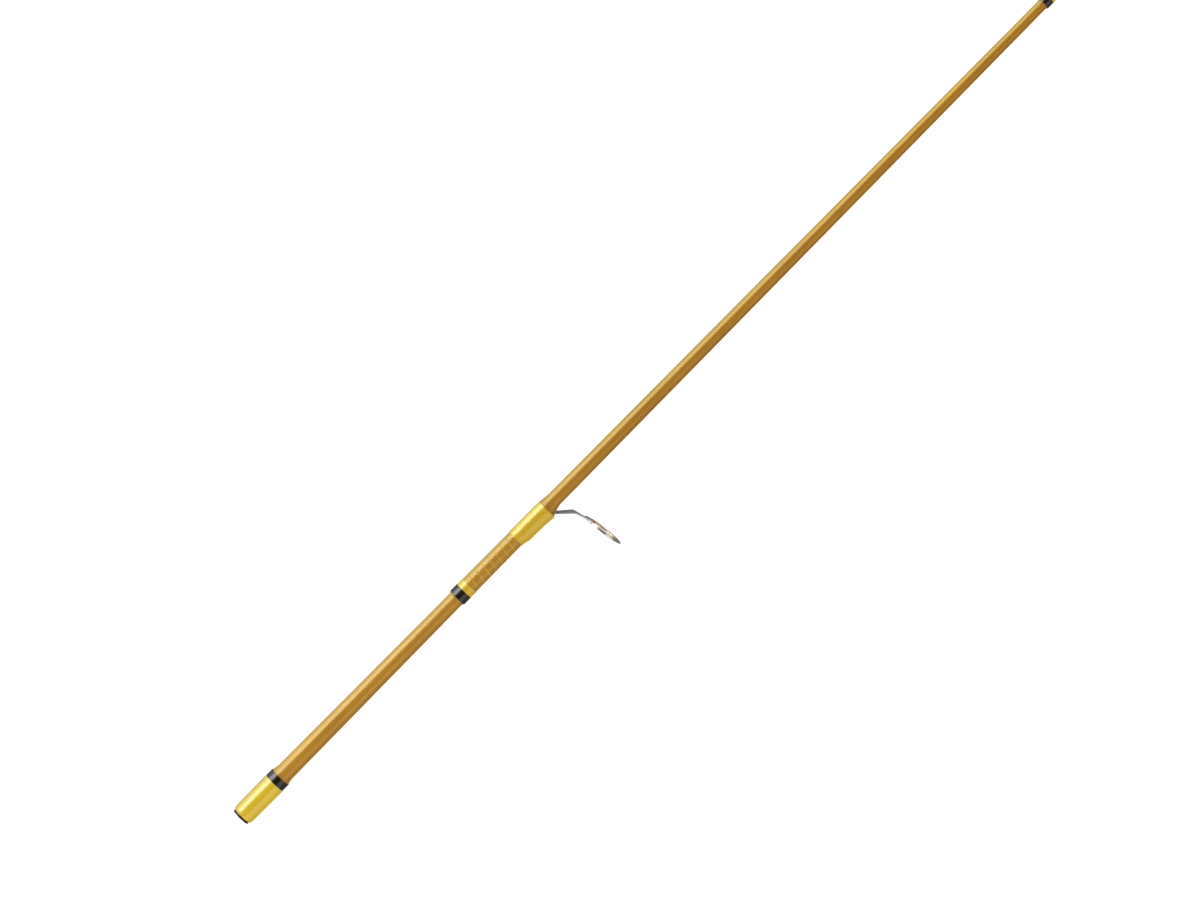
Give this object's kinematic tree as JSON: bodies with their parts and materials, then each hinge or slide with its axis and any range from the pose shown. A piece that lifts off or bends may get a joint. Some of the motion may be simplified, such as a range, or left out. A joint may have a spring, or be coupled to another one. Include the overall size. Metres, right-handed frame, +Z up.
{
  "type": "spinning rod tip section",
  "caption": "Upper section of a two-piece spinning rod: hollow amber blank with a female ferrule, yellow and black thread wraps, gold-lined ring guides and a tip-top.",
  "frame": {"origin": "on the blank's axis, in the plane of the female ferrule's mouth", "axes": "+X along the rod from the ferrule mouth to the tip; +Z up, with the guides hanging towards -Z as a spinning rod is held; +Y to the left, seen from the ferrule towards the tip"},
  "size_m": [0.9939, 0.0218, 0.0469],
  "materials": {
    "blank_amber": "translucent amber brown glass fibre under clear gloss",
    "lip_black": "black resin ring, gloss",
    "thread_yellow": "close-wound yellow thread under clear gloss finish",
    "thread_black": "close-wound black thread under clear gloss finish",
    "thread_brown": "close-wound amber brown thread under clear gloss finish",
    "clear_finish": "clear epoxy run-out over the amber blank, gloss",
    "guide_steel": "polished stainless steel",
    "ring_gold": "polished gold-toned hard liner"
  },
  "bodies": {
    "root": {"blank": "blank_amber", "ferrule_lip": "lip_black", "ferrule_wrap": "thread_yellow", "ferrule_trim_band": "thread_black", "ferrule_finish": "clear_finish", "guide1_trim_band": "thread_black", "guide1_accent_band": "thread_yellow", "guide1_underwrap": "thread_brown", "guide1_spiral_thread": "thread_yellow", "guide1_foot_wrap": "thread_yellow", "guide1_finish": "clear_finish", "guide1_frame": "guide_steel", "guide1_ring": "ring_gold", "guide2_trim_band": "thread_black", "guide2_accent_band": "thread_yellow", "guide2_underwrap": "thread_brown", "guide2_spiral_thread": "thread_yellow", "guide2_foot_wrap": "thread_yellow", "guide2_finish": "clear_finish", "guide2_frame": "guide_steel", "guide2_ring": "ring_gold", "guide3_trim_band": "thread_black", "guide3_accent_band": "thread_yellow", "guide3_underwrap": "thread_brown", "guide3_spiral_thread": "thread_yellow", "guide3_foot_wrap": "thread_yellow", "guide3_finish": "clear_finish", "guide3_frame": "guide_steel", "guide3_ring": "ring_gold", "tiptop_frame": "guide_steel", "tiptop_ring": "ring_gold", "tiptop_wrap": "thread_yellow", "tiptop_trim_band": "thread_black"}
  },
  "joints": []
}
